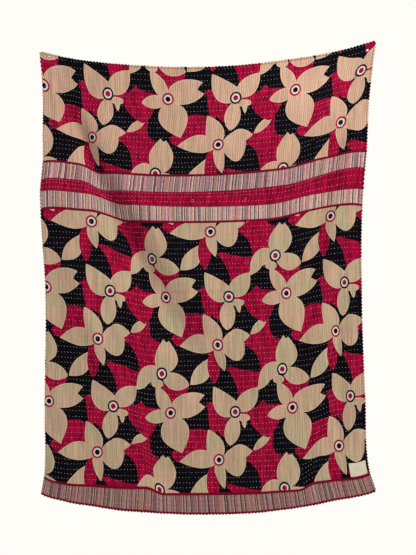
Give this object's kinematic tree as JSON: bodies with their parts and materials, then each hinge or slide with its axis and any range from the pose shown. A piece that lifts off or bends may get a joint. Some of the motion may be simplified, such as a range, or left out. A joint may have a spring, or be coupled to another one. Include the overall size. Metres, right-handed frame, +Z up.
{
  "type": "kantha quilt with wall pins",
  "caption": "Layered cotton throw quilt, hung by its top corners from wall pins, with sagging hem, diagonal tension folds and a sewn-on patch.",
  "frame": {"origin": "on the wall plane, halfway between the two pins", "axes": "+Z up, +X along the wall to the viewer's right, +Y into the wall; the quilt faces -Y"},
  "size_m": [1.2901, 0.0774, 1.8144],
  "materials": {
    "printed_cotton": "matte, layered and hand quilted",
    "ecru_cotton": "matte plain weave",
    "nickel_plated_steel": "polished"
  },
  "bodies": {
    "root": {"quilt": "printed_cotton", "label": "ecru_cotton", "pin_left": "nickel_plated_steel", "pin_right": "nickel_plated_steel"}
  },
  "joints": []
}
